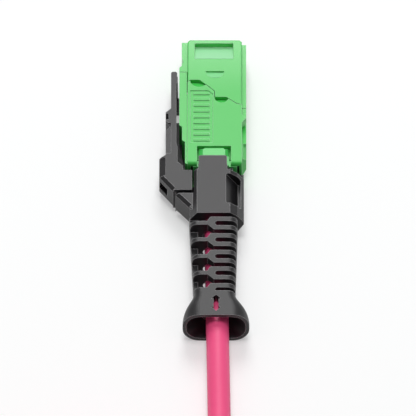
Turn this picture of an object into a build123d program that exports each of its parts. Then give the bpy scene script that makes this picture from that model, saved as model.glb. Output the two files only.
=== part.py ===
"""Fibre breakout cable: a slim push-pull plug for many fibres on a round cable with two tails.

Millimetres. +X runs across the broad side, +Y points at the ferrule, +Z is up. The plug lies on a
broad side. The origin is on the bottom face, on the plug's long axis, half way along its length.
Lengths along the plug are stated as depths behind the nose's front edge; y_at() turns them into Y.
"""

import os
from math import atan2, cos, degrees, pi, radians, sin, tan

from build123d import *

# Overall sizes of the plug
LENGTH = 47.2  # nose edge to mouth
THICK = 5.3  # both broad faces are flat
MID_Z = THICK / 2
SLIDE = 1.2  # travel of the release sleeve, boot and key when the boot is pulled
FLOAT = 0.4  # travel of the ferrule when two plugs are pushed together

# Clearances
SPLIT_GAP = 0.08  # nose against release sleeve
RUN_GAP = 0.1  # sliding faces
SEAT_GAP = 0.04  # pieces that sit still in each other
BODY_GAP = 0.25  # key against boot

# Nose and release sleeve
CORE_LEFT = 3.62  # half widths of the raised faces
CORE_RIGHT = 3.55
LEDGE_LEFT = 4.39  # half widths of the lower ledges at the sides
LEDGE_RIGHT = 4.12
LEDGE_FRONT = 0.05
LEDGE_STEP = 4.05  # where the left ledge widens
STEP_LEFT = 0.55  # how far each ledge lies under the broad faces
STEP_RIGHT = 1.0
LEDGE_LEFT_SPLIT = 5.1  # depth where each ledge passes from nose to sleeve
LEDGE_RIGHT_SPLIT = 11.0
SLEEVE_LEFT = 4.7
SLEEVE_LEG_DEPTH = 21.3
LEG_END_ROUND = 0.42
TAB_FRONT = 12.9  # pointed tab over the right ledge
TAB_TIP = 13.5
TAB_BACK = 14.35
RAMP_FRONT = 12.85
RAMP_BACK = 17.2
RAMP_DEEP = 0.7
EDGE_ROUND = 0.16
NOTCH_DEPTH = 18.35
NOTCH_LEFT = 2.37
NOTCH_RIGHT = 2.1
SPLIT_FRONT = 6.91  # front of the stepped parting line
SPLIT_STEP_X = -0.03
SPLIT_STEP_FRONT = 8.85
SPLIT_STEP_BACK = 9.88
SPLIT_BACK = 11.17

# Window recess, finger mark and grip panel on the broad face
WINDOW_FRONT = 0.62
WINDOW_BACK = 3.35
WINDOW_LEFT = 2.66
WINDOW_RIGHT = 2.42
WINDOW_DEEP = 0.8
MARK_FRONT = 5.42
MARK_R = 1.2
MARK_DEEP = 0.27
SCOOP_LEFT_X = -2.1
SCOOP_LEFT_R = 1.18
SCOOP_RIGHT_X = 0.86
SCOOP_RIGHT_R = 0.92
SCOOP_DEEP = 0.55
PANEL_FRONT = 8.75
PANEL_BACK = 17.75
PANEL_LEFT = 3.26
PANEL_RIGHT = -0.28
PANEL_DEEP = 0.12
GRIP_BARS = 9
GRIP_BAR_WIDE = 2.1
GRIP_BAR_LONG = 0.42

# Ferrule: the common sixteen-fibre size, with guide holes 5.3 mm apart
FERRULE_WIDE = 6.4
FERRULE_HIGH = 2.5
FERRULE_FACE = 0.1
FLANGE_WIDE = 6.8
FLANGE_HIGH = 2.9
FLANGE_FRONT = 3.3
FLANGE_BACK = 4.5
STUB_WIDE = 4.7
STUB_HIGH = 2.4
STUB_BACK = 6.0
GUIDE_HOLE_R = 0.275
GUIDE_PITCH = 5.3
FIBRE_POCKET_WIDE = 4.3
FIBRE_POCKET_HIGH = 1.3
FIBRE_POCKET_FRONT = 3.0
FERRULE_BOOT_BACK = 5.0

# Inner housing and the latch block on the coupler
INNER_WIDE = 6.2
INNER_HIGH = 3.8
INNER_FRONT = FLANGE_BACK + FLOAT + 0.15
INNER_BACK = 20.2
INNER_ROOM_WIDE = 5.4
INNER_ROOM_HIGH = 3.0
INNER_ROOM_BACK = 17.5
PIN_ROOM_LONG = 1.6
PIN_ROOM_HIGH = 1.2
SEAT_LONG = 1.2
BLOCK_FRONT = 18.5
BLOCK_BACK = 19.88
BLOCK_LEFT = 1.58
BLOCK_RIGHT = 1.32
BLOCK_SLOPE = 0.6
BLOCK_TOP_DROP = 0.12
BAR_WIDE = 1.6
BAR_TOP_DROP = 0.36
BASE_THICK = 0.2
BOOT_FRONT = SLEEVE_LEG_DEPTH + 0.12
RING_BACK = BOOT_FRONT - 0.06
RING_FRONT = RING_BACK - 1.0
RING_WIDE = 5.8
RING_HIGH = 3.9

# Crimp body, crimp ring and the two springs
CRIMP_BLOCK_FRONT = 15.5
NECK_R = 1.5
POST_R = 1.28
RETURN_SOLID = 0.94  # room left for the return spring when it is pressed together
NECK_BACK = RING_BACK + SLIDE + RETURN_SOLID
POST_BACK = 24.6
CRIMP_BORE_R = 0.75
CRIMP_RING_R = 2.1
CRIMP_RING_LONG = 4.5
CRIMP_HEX_FLAT = 1.92
SPRING_WIRE = 0.32
SPRING_R = 1.2
SPRING_TURNS = 9
RETURN_WIRE = 0.24
RETURN_R = 1.8
RETURN_TURNS = 2.5
FIBRE_R = 0.5

# Boot
BOOT_SHOULDER = BOOT_FRONT + 1.0  # where the body's upper half begins
BOOT_BACK = 29.8
BOOT_ROOM_R = 2.2
BOOT_ROOM_BACK = 28.6
BOOT_TOP_LEFT = 2.37
BOOT_TOP_RIGHT = 1.97
BOOT_LEFT = 3.29
BOOT_RIGHT = 3.79
BOOT_WAIST = 2.76
TONGUE_FRONT = 19.95
TONGUE_LEFT = 2.14
TONGUE_RIGHT = 1.57
TONGUE_THICK = 0.42
TONGUE_ROUND = 0.25
WING_TIP = 5.2
WING_FRONT = 25.75
WING_BACK = 28.05
SIDE_TOP = 4.5  # flat height band of the key and the boot's wing
SIDE_BOTTOM = THICK - SIDE_TOP
SIDE_BEVEL = 0.45
SLOT_FRONT = 23.05
SLOT_BACK = 28.1
SLOT_LEFT = 1.45
SLOT_RIGHT = 3.38
SLOT_LIP = 0.15
SLOT_ROUND = 0.3
GROOVE_LEFT = 3.0
GROOVE_FLOOR = 2.75

# Flexible tail of the boot: forks on a spine, then a collar and a bell mouth
TAIL_LEFT = 3.4
TAIL_RIGHT = 3.0
TAIL_END_LEFT = 2.78
TAIL_END_RIGHT = 2.64
TAIL_ROUND = 1.0
FORKS = 5
FORK_PITCH = 2.835
FORK_FIRST = 30.49
FORK_LONG = 2.15
FORK_LEFT = -0.95
FORK_SLOT = 0.74
FORK_SLOT_LEFT = 0.0
FORK_GAP = FORK_PITCH - FORK_LONG
SPINE_RIGHT = -2.24
SPINE_TOP = 3.7
STEM_LONG = 0.62
COLLAR_FRONT = 43.05
BELL_LEFT = 4.24
BELL_RIGHT = 4.48
BELL_ROUND = 2.3
BELL_WALL = 0.48
ARROW_FRONT = 43.75
ARROW_LONG = 2.75
ARROW_X = 0.13
ARROW_HEAD = 0.62
ARROW_HEAD_LONG = 0.68
ARROW_SHAFT = 0.33

# Polarity key on the left narrow side
KEY_TIP = 4.85
KEY_BAR_LEFT = 5.8
KEY_BAR_RIGHT = 5.08
KEY_BUMP = 6.5
KEY_WAIST = 6.02
KEY_BLOCK = 7.33
KEY_BLOCK_BACK = 22.77
KEY_FOOT_RIGHT = BOOT_WAIST + BODY_GAP
KEY_FOOT_FRONT = SLEEVE_LEG_DEPTH + 0.5
KEY_FOOT_LEFT = 5.53
KEY_BACK = WING_FRONT - 0.55
KEY_LEDGE_FRONT = 13.7  # lower ledge beside the key's bar
KEY_LEDGE_BACK = 18.9
KEY_LEDGE_DROP = 0.35

# Cable and its coil
CABLE_R = 1.5
CABLE_FRONT = 24.7
BORE_R = CABLE_R + 0.15
COIL_R = 15.0  # middle of the turns
TIE_THICK = 0.3
TIE_GAP = 0.11
TIE_WIDE = 3.0
COIL_LIFT = TIE_THICK + TIE_GAP + 0.01  # the coil lies on its ties
TIE_TURNS = (60, 180, -60)  # degrees round the coil
COIL_Y = -63.0
COIL_X = -(COIL_R + CABLE_R)
COIL_TOP = COIL_LIFT + 4 * CABLE_R
TOP_Z = COIL_TOP + TIE_GAP + TIE_THICK + 0.01  # what lies on the coil rests on its ties

# Breakout body, tails and their plugs, all on top of the coil
TAIL_TURN_R = 16.2
TAIL_TURN = 22.0  # degrees at each corner of the tail's route
TAIL_RISE = (0.0, 0.1, 0.4, 0.75, 1.0, 1.0)  # share of the climb onto the coil at each corner
TAIL_RUN = 2 * TAIL_TURN_R * tan(radians(TAIL_TURN / 2))
BREAKOUT_LONG = 9.0
BREAKOUT_WIDE = 5.6
BREAKOUT_HIGH = 3.8
BREAKOUT_TURN = -67.0  # degrees round the coil
LEG_R = 1.0
LEG_SPACING = 2.4
LEG_TURN_R = 13.0
LEG_TURN = 25.0
LEG_BENDS = 6
LEG_RUN = 2 * LEG_TURN_R * tan(radians(LEG_TURN / 2))
LEG_SAG = 0.7
PLUG_WIDE = 3.6
PLUG_HIGH = 3.6
PLUG_LONG = 8.5
PLUG_SPACING = 4.0
PLUG_BOOT_LONG = 5.0
PLUG_FERRULE_R = 0.625
PLUG_FERRULE_LONG = 4.2
PLUG_FERRULE_OUT = 1.4


def y_at(depth):
    """Y of a depth behind the nose's front edge."""
    return LENGTH / 2 - depth


def block(x0, x1, front, back, z0, z1):
    """A box between two X values, two depths and two heights."""
    middle = ((x0 + x1) / 2, y_at((front + back) / 2), (z0 + z1) / 2)
    return Pos(*middle) * Box(x1 - x0, back - front, z1 - z0)


def face_of(points):
    """A flat face from (x, depth) points on the ground plane."""
    corners = [(x, y_at(depth)) for x, depth in points]
    return make_face(Polyline(*corners, close=True))


def plate(points, z0, z1):
    """A prism with an outline of (x, depth) points."""
    return Pos(0, 0, z0) * extrude(face_of(points), z1 - z0)


def rod(radius, front, back, x=0.0, z=MID_Z):
    """A round bar along Y between two depths."""
    start = Plane(origin=(x, y_at(back), z), x_dir=(1, 0, 0), z_dir=(0, 1, 0))
    return extrude(start * Circle(radius), back - front)


def section(sketch, depth, x=0.0, z=MID_Z):
    """A sketch stood across the plug's axis; its own Y points up."""
    return Plane(origin=(x, y_at(depth), z), x_dir=(1, 0, 0), z_dir=(0, -1, 0)) * sketch


def save(name, shape):
    export_step(shape, f"parts/{name}.step")


def split_line():
    """The stepped parting line between nose and sleeve, from left to right."""
    return [
        (-CORE_LEFT, SPLIT_FRONT + 0.35),
        (-CORE_LEFT + 0.35, SPLIT_FRONT),
        (-2.04, SPLIT_FRONT),
        (-0.79, 8.08),
        (SPLIT_STEP_X, SPLIT_STEP_FRONT),
        (SPLIT_STEP_X, SPLIT_STEP_BACK),
        (1.51, SPLIT_STEP_BACK),
        (2.04, 10.31),
        (2.89, 11.0),
        (CORE_RIGHT, SPLIT_BACK),
    ]


def nose_core():
    corner = 0.3
    front = [(CORE_RIGHT, corner), (CORE_RIGHT - corner, 0), (-CORE_LEFT + corner, 0)]
    return face_of(split_line() + front + [(-CORE_LEFT, corner)])


def nose_housing():
    """The fixed front shell round the ferrule."""
    shell = extrude(nose_core(), THICK)
    top_edges = shell.edges().group_by(Axis.Z)[-1]
    shell = fillet(top_edges.filter_by(lambda e: e.center().Y > y_at(6.5)), EDGE_ROUND)
    left = plate(
        [
            (-CORE_LEFT + 0.1, LEDGE_FRONT),
            (-LEDGE_LEFT, LEDGE_FRONT),
            (-LEDGE_LEFT, LEDGE_STEP),
            (-SLEEVE_LEFT, LEDGE_STEP + 0.3),
            (-SLEEVE_LEFT, LEDGE_LEFT_SPLIT),
            (-CORE_LEFT + 0.1, LEDGE_LEFT_SPLIT),
        ],
        STEP_LEFT,
        THICK - STEP_LEFT,
    )
    nick = [(-LEDGE_LEFT - 0.1, 1.9), (-LEDGE_LEFT + 0.18, 3.55), (-LEDGE_LEFT - 0.1, 3.55)]
    left -= plate(nick, MID_Z, THICK)
    right = plate(
        [
            (CORE_RIGHT - 0.1, LEDGE_FRONT),
            (LEDGE_RIGHT, LEDGE_FRONT),
            (LEDGE_RIGHT, LEDGE_RIGHT_SPLIT),
            (CORE_RIGHT - 0.1, LEDGE_RIGHT_SPLIT),
        ],
        STEP_RIGHT,
        THICK - STEP_RIGHT,
    )
    shell = shell + left + right
    wide = FERRULE_WIDE / 2 + RUN_GAP / 2
    high = FERRULE_HIGH / 2 + RUN_GAP / 2
    flange_wide = FLANGE_WIDE / 2 + RUN_GAP / 2
    flange_high = FLANGE_HIGH / 2 + RUN_GAP / 2
    inner_wide = INNER_WIDE / 2 + SEAT_GAP
    inner_high = INNER_HIGH / 2 + SEAT_GAP
    flange_stop = FLANGE_FRONT - SEAT_GAP
    shell -= block(-wide, wide, -1, flange_stop, MID_Z - high, MID_Z + high)
    shell -= block(
        -flange_wide, flange_wide, flange_stop, INNER_FRONT, MID_Z - flange_high, MID_Z + flange_high
    )
    shell -= block(-inner_wide, inner_wide, INNER_FRONT, 12, MID_Z - inner_high, MID_Z + inner_high)
    return shell - window_ramp() - half_moon(0, MARK_FRONT, MARK_R, MARK_DEEP)


def window_ramp():
    """A recess, deep at the front, whose floor rises to the surface."""
    side = make_face(
        Polyline(
            (y_at(WINDOW_FRONT), THICK - WINDOW_DEEP),
            (y_at(WINDOW_BACK), THICK),
            (y_at(WINDOW_BACK), THICK + 1),
            (y_at(WINDOW_FRONT), THICK + 1),
            close=True,
        )
    )
    across = Plane(origin=(-WINDOW_LEFT, 0, 0), x_dir=(0, 1, 0), z_dir=(1, 0, 0))
    return extrude(across * side, WINDOW_LEFT + WINDOW_RIGHT)


def half_moon(x, front, radius, deep):
    """A round-backed pocket, deep along its straight front edge, whose floor rises to the back."""
    outline = Pos(x, y_at(front)) * Circle(radius)
    outline &= Pos(x, y_at(front) - radius) * Rectangle(3 * radius, 2 * radius)
    tool = Pos(0, 0, THICK - deep) * extrude(outline, 1)
    floor = make_face(
        Polyline(
            (y_at(front), THICK - deep - 0.1),
            (y_at(front), THICK - deep),
            (y_at(front + 2 * radius), THICK + deep),
            (y_at(front + 2 * radius), THICK - deep - 0.1),
            close=True,
        )
    )
    across = Plane(origin=(x - 2 * radius, 0, 0), x_dir=(0, 1, 0), z_dir=(1, 0, 0))
    return tool - extrude(across * floor, 4 * radius)


def bevel(start, end, inset, drop, top):
    """Wedge that slopes a top edge away, between two (x, depth) points with the body on their right."""
    x, y = start[0], y_at(start[1])
    along = Vector(end[0] - x, y_at(end[1]) - y, 0)
    outward = Vector(0, 0, 1).cross(along.normalized())
    frame = Plane(origin=(x, y, top), x_dir=outward, z_dir=along)
    wedge = Polyline((-inset, 0), (0, -drop), (1, -drop), (1, 1), (-inset, 1), close=True)
    return extrude(frame * make_face(wedge), along.length)


def mirrored(shape):
    """The same shape on the plug's other broad side."""
    return mirror(shape, about=Plane((0, 0, MID_Z)))


def finger_ramp():
    """Wedge over the right ledge: its floor drops behind the tab and rises towards the back."""
    top = THICK - STEP_RIGHT
    side = make_face(
        Polyline(
            (y_at(RAMP_FRONT), top - RAMP_DEEP),
            (y_at(RAMP_BACK), top),
            (y_at(RAMP_BACK), top + 0.1),
            (y_at(RAMP_FRONT), top + 0.1),
            close=True,
        )
    )
    across = Plane(origin=(CORE_RIGHT, 0, 0), x_dir=(0, 1, 0), z_dir=(1, 0, 0))
    return extrude(across * side, 1)


def release_sleeve():
    """The sliding rear shell: legs at the back, grip panel and scoops on the broad face."""
    core = plate(
        [
            (-CORE_LEFT, SPLIT_FRONT - 1),
            (CORE_RIGHT, SPLIT_FRONT - 1),
            (CORE_RIGHT, SLEEVE_LEG_DEPTH),
            (-CORE_LEFT, SLEEVE_LEG_DEPTH),
        ],
        0,
        THICK,
    )
    left = plate(
        [
            (-CORE_LEFT - SPLIT_GAP, LEDGE_LEFT_SPLIT + SPLIT_GAP),
            (-SLEEVE_LEFT, LEDGE_LEFT_SPLIT + SPLIT_GAP),
            (-SLEEVE_LEFT, 14.3),
            (-4.34, 14.6),
            (-4.34, 16.9),
            (-3.95, 17.2),
            (-3.95, SLEEVE_LEG_DEPTH - 0.5),
            (-CORE_LEFT + 0.1, SLEEVE_LEG_DEPTH - 0.2),
            (-CORE_LEFT + 0.1, 9),
            (-CORE_LEFT - SPLIT_GAP, 9),
        ],
        STEP_LEFT,
        THICK - STEP_LEFT,
    )
    right_front = LEDGE_RIGHT_SPLIT + SPLIT_GAP
    rail_back = SLEEVE_LEG_DEPTH - 1.4
    right = plate(
        [
            (CORE_RIGHT - 0.1, SPLIT_BACK + 0.3),
            (CORE_RIGHT + SPLIT_GAP, right_front),
            (LEDGE_RIGHT, right_front),
            (LEDGE_RIGHT, rail_back - 0.5),
            (CORE_RIGHT - 0.1, rail_back),
        ],
        STEP_RIGHT,
        THICK - STEP_RIGHT,
    )
    right -= finger_ramp() + mirrored(finger_ramp())
    slope = bevel((LEDGE_RIGHT, RAMP_BACK), (LEDGE_RIGHT, rail_back), 0.45, 0.7, THICK - STEP_RIGHT)
    right -= slope + mirrored(slope)
    tab = plate(
        [
            (CORE_RIGHT - 0.1, TAB_FRONT - 0.1),
            (LEDGE_RIGHT - 0.05, TAB_TIP),
            (CORE_RIGHT - 0.1, TAB_BACK + 0.15),
        ],
        THICK - 1.3,
        THICK,
    )
    nose_room = extrude(offset(nose_core(), SPLIT_GAP, kind=Kind.INTERSECTION), THICK)
    shell = core - nose_room
    shell = shell + left + right + tab + mirrored(tab)
    wide = INNER_WIDE / 2 + RUN_GAP
    high = INNER_HIGH / 2 + RUN_GAP
    shell -= block(-wide, wide, 0, SLEEVE_LEG_DEPTH + 1, MID_Z - high, MID_Z + high)
    shell -= block(-NOTCH_LEFT, NOTCH_RIGHT, NOTCH_DEPTH, SLEEVE_LEG_DEPTH + 1, -1, THICK + 1)
    ends = [
        e
        for e in shell.edges().filter_by(Axis.X)
        if abs(e.center().Y - y_at(SLEEVE_LEG_DEPTH)) < 0.01 and e.center().Z > THICK - 0.01
    ]
    shell = fillet(ends, LEG_END_ROUND)
    shell -= half_moon(SCOOP_LEFT_X, SPLIT_FRONT + SPLIT_GAP, SCOOP_LEFT_R, SCOOP_DEEP)
    shell -= half_moon(SCOOP_RIGHT_X, SPLIT_STEP_BACK + SPLIT_GAP, SCOOP_RIGHT_R, SCOOP_DEEP)
    return shell - panel_recess() + grip_bars()


def panel_recess():
    corner = 0.6
    outline = [
        (-PANEL_LEFT, PANEL_FRONT),
        (PANEL_RIGHT - corner, PANEL_FRONT),
        (PANEL_RIGHT, PANEL_FRONT + corner),
        (PANEL_RIGHT, PANEL_BACK),
        (-PANEL_LEFT, PANEL_BACK),
    ]
    return plate(outline, THICK - PANEL_DEEP, THICK + 1)


def grip_bars():
    """Plain raised bars across the panel, level with the broad face."""
    pitch = (PANEL_BACK - PANEL_FRONT) / GRIP_BARS
    middle = (PANEL_RIGHT - PANEL_LEFT) / 2
    bars = Part()
    for n in range(GRIP_BARS):
        start = PANEL_FRONT + (n + 0.5) * pitch - GRIP_BAR_LONG / 2
        bars += block(
            middle - GRIP_BAR_WIDE / 2,
            middle + GRIP_BAR_WIDE / 2,
            start,
            start + GRIP_BAR_LONG,
            THICK - 1.5 * PANEL_DEEP,
            THICK,
        )
    return bars


def ferrule():
    """Rectangular multi-fibre ferrule with guide holes, a flange and a pocket for the fibres."""
    half_w, half_h = FERRULE_WIDE / 2, FERRULE_HIGH / 2
    shape = block(-half_w, half_w, FERRULE_FACE, FLANGE_FRONT, MID_Z - half_h, MID_Z + half_h)
    half_w, half_h = FLANGE_WIDE / 2, FLANGE_HIGH / 2
    shape += block(-half_w, half_w, FLANGE_FRONT, FLANGE_BACK, MID_Z - half_h, MID_Z + half_h)
    half_w, half_h = STUB_WIDE / 2, STUB_HIGH / 2
    shape += block(-half_w, half_w, FLANGE_BACK, STUB_BACK, MID_Z - half_h, MID_Z + half_h)
    half_w, half_h = FIBRE_POCKET_WIDE / 2, FIBRE_POCKET_HIGH / 2
    shape -= block(-half_w, half_w, FIBRE_POCKET_FRONT, STUB_BACK + 1, MID_Z - half_h, MID_Z + half_h)
    for side in (-1, 1):
        shape -= rod(GUIDE_HOLE_R, FERRULE_FACE - 1, FLANGE_BACK + 1, side * GUIDE_PITCH / 2)
    return shape - block(-1.5, 1.5, 1.2, 2.4, MID_Z + 0.5, THICK)


def ferrule_boot():
    """Soft block that holds the fibres flat where they enter the ferrule."""
    half_w, half_h = FIBRE_POCKET_WIDE / 2 - SEAT_GAP, FIBRE_POCKET_HIGH / 2 - SEAT_GAP
    return block(
        -half_w, half_w, FIBRE_POCKET_FRONT + SEAT_GAP, FERRULE_BOOT_BACK, MID_Z - half_h, MID_Z + half_h
    )


def spring_seat():
    """Plate behind the ferrule that takes the spring's push."""
    half_w, half_h = INNER_ROOM_WIDE / 2 - RUN_GAP, INNER_ROOM_HIGH / 2 - RUN_GAP
    front = STUB_BACK
    shape = block(-half_w, half_w, front, front + SEAT_LONG, MID_Z - half_h, MID_Z + half_h)
    half_w, half_h = FIBRE_POCKET_WIDE / 2, FIBRE_POCKET_HIGH / 2
    return shape - block(-half_w, half_w, front - 1, front + SEAT_LONG + 1, MID_Z - half_h, MID_Z + half_h)


def coil_spring(radius, wire, front, back, turns):
    """Round-wire compression spring between two depths."""
    long = back - front - wire
    path = Helix(pitch=long / turns, height=long, radius=radius)
    wire_face = Plane(origin=path @ 0, z_dir=path % 0) * Circle(wire / 2)
    spring = sweep(wire_face, path=path)
    seat = Plane(origin=(0, y_at(back - wire / 2), MID_Z), x_dir=(1, 0, 0), z_dir=(0, 1, 0))
    return seat * spring


def ferrule_spring():
    return coil_spring(SPRING_R, SPRING_WIRE, STUB_BACK + SEAT_LONG, CRIMP_BLOCK_FRONT, SPRING_TURNS)


def return_spring():
    return coil_spring(RETURN_R, RETURN_WIRE, RING_BACK, NECK_BACK, RETURN_TURNS)


def fibre_bundle():
    """The fibres: flat behind the ferrule, gathered to a round bundle through the crimp body."""
    gathered = STUB_BACK + SEAT_LONG - 0.1
    flat = section(Rectangle(3.9, 0.3), FERRULE_BOOT_BACK)
    round_face = section(Circle(FIBRE_R), gathered)
    taper = loft([flat, round_face])
    return taper + rod(FIBRE_R, gathered, CABLE_FRONT - 0.6)


def inner_housing():
    """Fixed carrier under the sleeve: room for the spring, bored back wall."""
    half_w, half_h = INNER_WIDE / 2, INNER_HIGH / 2
    shape = block(-half_w, half_w, INNER_FRONT, INNER_BACK, MID_Z - half_h, MID_Z + half_h)
    half_w, half_h = INNER_ROOM_WIDE / 2, INNER_ROOM_HIGH / 2
    shape -= block(-half_w, half_w, INNER_FRONT - 1, INNER_ROOM_BACK, MID_Z - half_h, MID_Z + half_h)
    half_h = PIN_ROOM_HIGH / 2  # room for the tips of the other plug's guide pins
    shape -= block(-9, 9, INNER_FRONT - 1, INNER_FRONT + PIN_ROOM_LONG, MID_Z - half_h, MID_Z + half_h)
    return shape - rod(NECK_R + SEAT_GAP, INNER_ROOM_BACK - 1, INNER_BACK + 1)


def boot_coupler():
    """Sliding clip: its block fills the sleeve's notch, its ring carries the boot."""
    top = THICK - BLOCK_TOP_DROP
    low = MID_Z + INNER_HIGH / 2 + RUN_GAP
    profile = make_face(
        Polyline(
            (-BLOCK_LEFT - BLOCK_SLOPE, low),
            (-BLOCK_LEFT, top),
            (BLOCK_RIGHT, top),
            (BLOCK_RIGHT + BLOCK_SLOPE - 0.1, low),
            close=True,
        )
    )
    across = Plane(origin=(0, y_at(BLOCK_FRONT), 0), x_dir=(1, 0, 0), z_dir=(0, -1, 0))
    latch = extrude(across * profile, BLOCK_BACK - BLOCK_FRONT)
    front_edge = [
        e
        for e in latch.edges().filter_by(Axis.X)
        if e.center().Z > top - 0.01 and e.center().Y > y_at(BLOCK_FRONT) - 0.01
    ]
    latch = chamfer(front_edge, 0.3, 0.35)
    bar = block(-BAR_WIDE / 2, BAR_WIDE / 2, BLOCK_FRONT + 0.6, RING_BACK, low, THICK - BAR_TOP_DROP)
    half_w, half_h = RING_WIDE / 2, RING_HIGH / 2
    ring = block(-half_w, half_w, RING_FRONT, RING_BACK, MID_Z - half_h, MID_Z + half_h)
    ring -= rod(NECK_R + RUN_GAP, RING_FRONT - 1, RING_BACK + 1)
    lug = block(-BAR_WIDE / 2, BAR_WIDE / 2, RING_FRONT, RING_BACK, MID_Z + half_h - 0.2, low + 0.1)
    foot = BLOCK_SLOPE - 0.1
    base = block(-BLOCK_LEFT - foot, BLOCK_RIGHT + foot, BLOCK_BACK - 0.1, RING_BACK, low, low + BASE_THICK)
    return latch + bar + lug + base + ring


def crimp_body():
    """Spring stop, neck through the inner housing and post inside the crimp ring."""
    half_w = INNER_ROOM_WIDE / 2 - SEAT_GAP
    half_h = INNER_ROOM_HIGH / 2 - SEAT_GAP
    shape = block(
        -half_w, half_w, CRIMP_BLOCK_FRONT, INNER_ROOM_BACK, MID_Z - half_h, MID_Z + half_h
    )
    shape += rod(NECK_R, INNER_ROOM_BACK - 0.1, NECK_BACK)
    shape += rod(POST_R, NECK_BACK - 0.1, POST_BACK)
    return shape - rod(CRIMP_BORE_R, CRIMP_BLOCK_FRONT - 1, POST_BACK + 1)


def crimp_ring():
    """Metal ring over post and cable, pressed to a hexagon in its middle."""
    back = NECK_BACK + CRIMP_RING_LONG
    shape = rod(CRIMP_RING_R, NECK_BACK, back)
    band = section(RegularPolygon(CRIMP_HEX_FLAT, 6, major_radius=False), NECK_BACK + 1.0)
    outside = rod(CRIMP_RING_R + 1, NECK_BACK + 1.0, back - 1.0)
    shape -= outside - extrude(band, CRIMP_RING_LONG - 2.0)
    return shape - rod(CABLE_R + SEAT_GAP / 2, NECK_BACK - 1, back + 1)


def boot_profile():
    """Section of the boot's body, looking along the cable."""
    return Polyline(
        (-BOOT_TOP_LEFT, THICK),
        (BOOT_TOP_RIGHT, THICK),
        (2.95, 4.55),
        (BOOT_RIGHT, 3.35),
        (BOOT_RIGHT, 2.85),
        (2.9, 1.3),
        (2.2, 0),
        (-BOOT_TOP_LEFT, 0),
        (-BOOT_LEFT, 1.3),
        (-BOOT_LEFT, 3.95),
        close=True,
    )


def boot_body():
    start = Plane(origin=(0, y_at(BOOT_FRONT), 0), x_dir=(1, 0, 0), z_dir=(0, -1, 0))
    body = extrude(start * make_face(boot_profile()), BOOT_BACK - BOOT_FRONT)
    body -= block(-9, -BOOT_WAIST, BOOT_FRONT - 1, WING_FRONT, -1, THICK + 1)
    body -= block(1.62, 9, BOOT_FRONT - 1, BOOT_SHOULDER, 4.4, 9)
    body -= block(2.35, 9, BOOT_FRONT - 1, BOOT_SHOULDER, 3.0, 9)
    body -= block(-9, -2.2, BOOT_FRONT - 1, BOOT_SHOULDER - 0.2, 3.0, 9)
    tip, back = (-WING_TIP, WING_FRONT + 0.1), (-BOOT_LEFT - 0.06, WING_BACK)
    wing = plate(
        [(-BOOT_WAIST, WING_FRONT), (-WING_TIP, WING_FRONT), tip, back, (-BOOT_WAIST, WING_BACK + 0.7)],
        SIDE_BOTTOM,
        SIDE_TOP,
    )
    slope = bevel(back, tip, SIDE_BEVEL, SIDE_BEVEL, SIDE_TOP)
    return body + (wing - slope - mirrored(slope))


def boot_tongue():
    tongue = plate(
        [
            (-TONGUE_LEFT, TONGUE_FRONT),
            (TONGUE_RIGHT, TONGUE_FRONT),
            (TONGUE_RIGHT, BOOT_SHOULDER - 0.1),
            (BOOT_TOP_RIGHT - 0.1, BOOT_SHOULDER + 0.2),
            (-BOOT_TOP_LEFT, BOOT_SHOULDER + 0.2),
            (-TONGUE_LEFT, BOOT_SHOULDER - 0.1),
        ],
        THICK - TONGUE_THICK,
        THICK,
    )
    corners = tongue.edges().filter_by(Axis.Z).filter_by(lambda e: e.center().Y > y_at(TONGUE_FRONT) - 0.01)
    half = BAR_WIDE / 2 + SEAT_GAP
    groove = block(-half, half, TONGUE_FRONT - 1, RING_BACK + SEAT_GAP, 0, THICK - BAR_TOP_DROP + SEAT_GAP)
    return fillet(corners, TONGUE_ROUND) - groove


def side_slot():
    """Long pocket in the boot's right shoulder, whose floor falls away to a groove at its outer wall."""
    profile = make_face(
        Polyline(
            (SLOT_LEFT, THICK + 1),
            (SLOT_LEFT, THICK - SLOT_LIP),
            (GROOVE_LEFT, GROOVE_FLOOR),
            (SLOT_RIGHT, GROOVE_FLOOR),
            (SLOT_RIGHT, THICK + 1),
            close=True,
        )
    )
    start = Plane(origin=(0, y_at(SLOT_FRONT), 0), x_dir=(1, 0, 0), z_dir=(0, -1, 0))
    pocket = extrude(start * profile, SLOT_BACK - SLOT_FRONT)
    outline = RectangleRounded(SLOT_RIGHT - SLOT_LEFT, SLOT_BACK - SLOT_FRONT, SLOT_ROUND)
    middle = ((SLOT_LEFT + SLOT_RIGHT) / 2, y_at((SLOT_FRONT + SLOT_BACK) / 2))
    return pocket & extrude(Pos(*middle) * outline, THICK + 1)


def tail_tube():
    """Solid tail behind the body, tapering to the collar, before its cuts."""
    def oval(left, right):
        shape = RectangleRounded(left + right, THICK, TAIL_ROUND)
        return Pos((right - left) / 2, 0) * shape

    front = section(oval(TAIL_LEFT, TAIL_RIGHT), BOOT_BACK - 0.3)
    end = section(oval(TAIL_END_LEFT, TAIL_END_RIGHT), COLLAR_FRONT)
    return loft([front, end])


def bell():
    """Collar and mouth: the sides flare, the broad faces stay flat."""
    rows = [
        (0.0, 0.0, TAIL_ROUND),
        (0.15, 0.1, 1.2),
        (0.35, 0.45, 1.6),
        (0.6, 0.82, 2.0),
        (0.8, 0.97, BELL_ROUND),
        (1.0, 1.0, BELL_ROUND),
    ]
    faces = []
    for along, out, corner in rows:
        left = TAIL_END_LEFT + out * (BELL_LEFT - TAIL_END_LEFT)
        right = TAIL_END_RIGHT + out * (BELL_RIGHT - TAIL_END_RIGHT)
        shape = Pos((right - left) / 2, 0) * RectangleRounded(left + right, THICK, corner)
        faces.append(section(shape, COLLAR_FRONT + along * (LENGTH - COLLAR_FRONT)))
    return loft(faces)


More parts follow.
